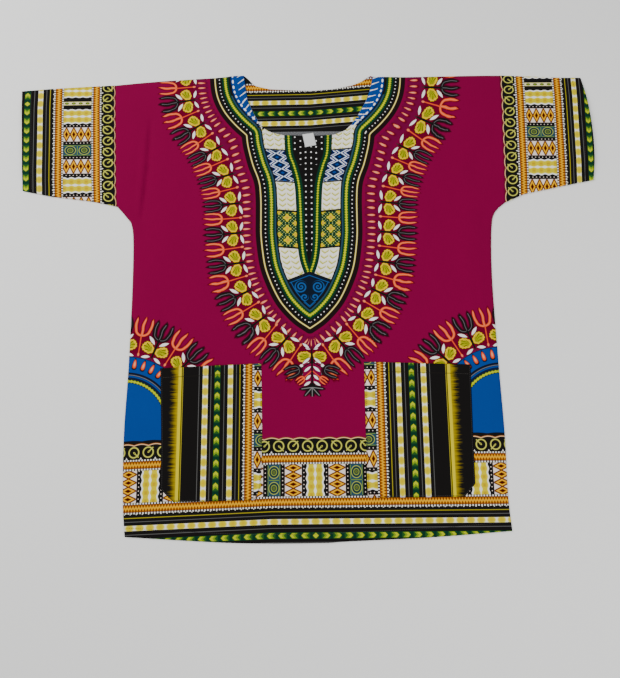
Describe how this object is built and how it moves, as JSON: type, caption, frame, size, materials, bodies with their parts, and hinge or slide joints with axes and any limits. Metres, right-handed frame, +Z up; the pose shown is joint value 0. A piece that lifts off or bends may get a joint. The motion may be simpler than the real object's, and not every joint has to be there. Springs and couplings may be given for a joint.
{
  "type": "dashiki shirt",
  "caption": "Short-sleeved dashiki shirt laid flat, with a printed neck motif, border bands at hem and sleeves, a scooped neck and patch pockets.",
  "frame": {"origin": "middle of the footprint of the whole laid-out shirt, on the surface it lies on", "axes": "+X across the shirt, towards the wearer's left sleeve, which lies on the right as seen from above; +Y from the hem to the neck; +Z up from the surface, out of the front"},
  "size_m": [0.9216, 0.7366, 0.0064],
  "materials": {
    "body_print": "plain-woven cotton, wax-style print on a magenta ground, dry and nearly matt",
    "border_print": "plain-woven cotton, printed border in black, yellow, orange, green and cream, dry and nearly matt",
    "label_tape": "plain white woven tape, blank, slightly satin"
  },
  "bodies": {
    "root": {"front": "body_print", "back": "body_print", "back_neck_facing": "border_print", "neck_label": "label_tape", "pocket_left": "border_print", "pocket_right": "border_print", "sleeve_left": "border_print", "sleeve_right": "border_print"}
  },
  "joints": []
}
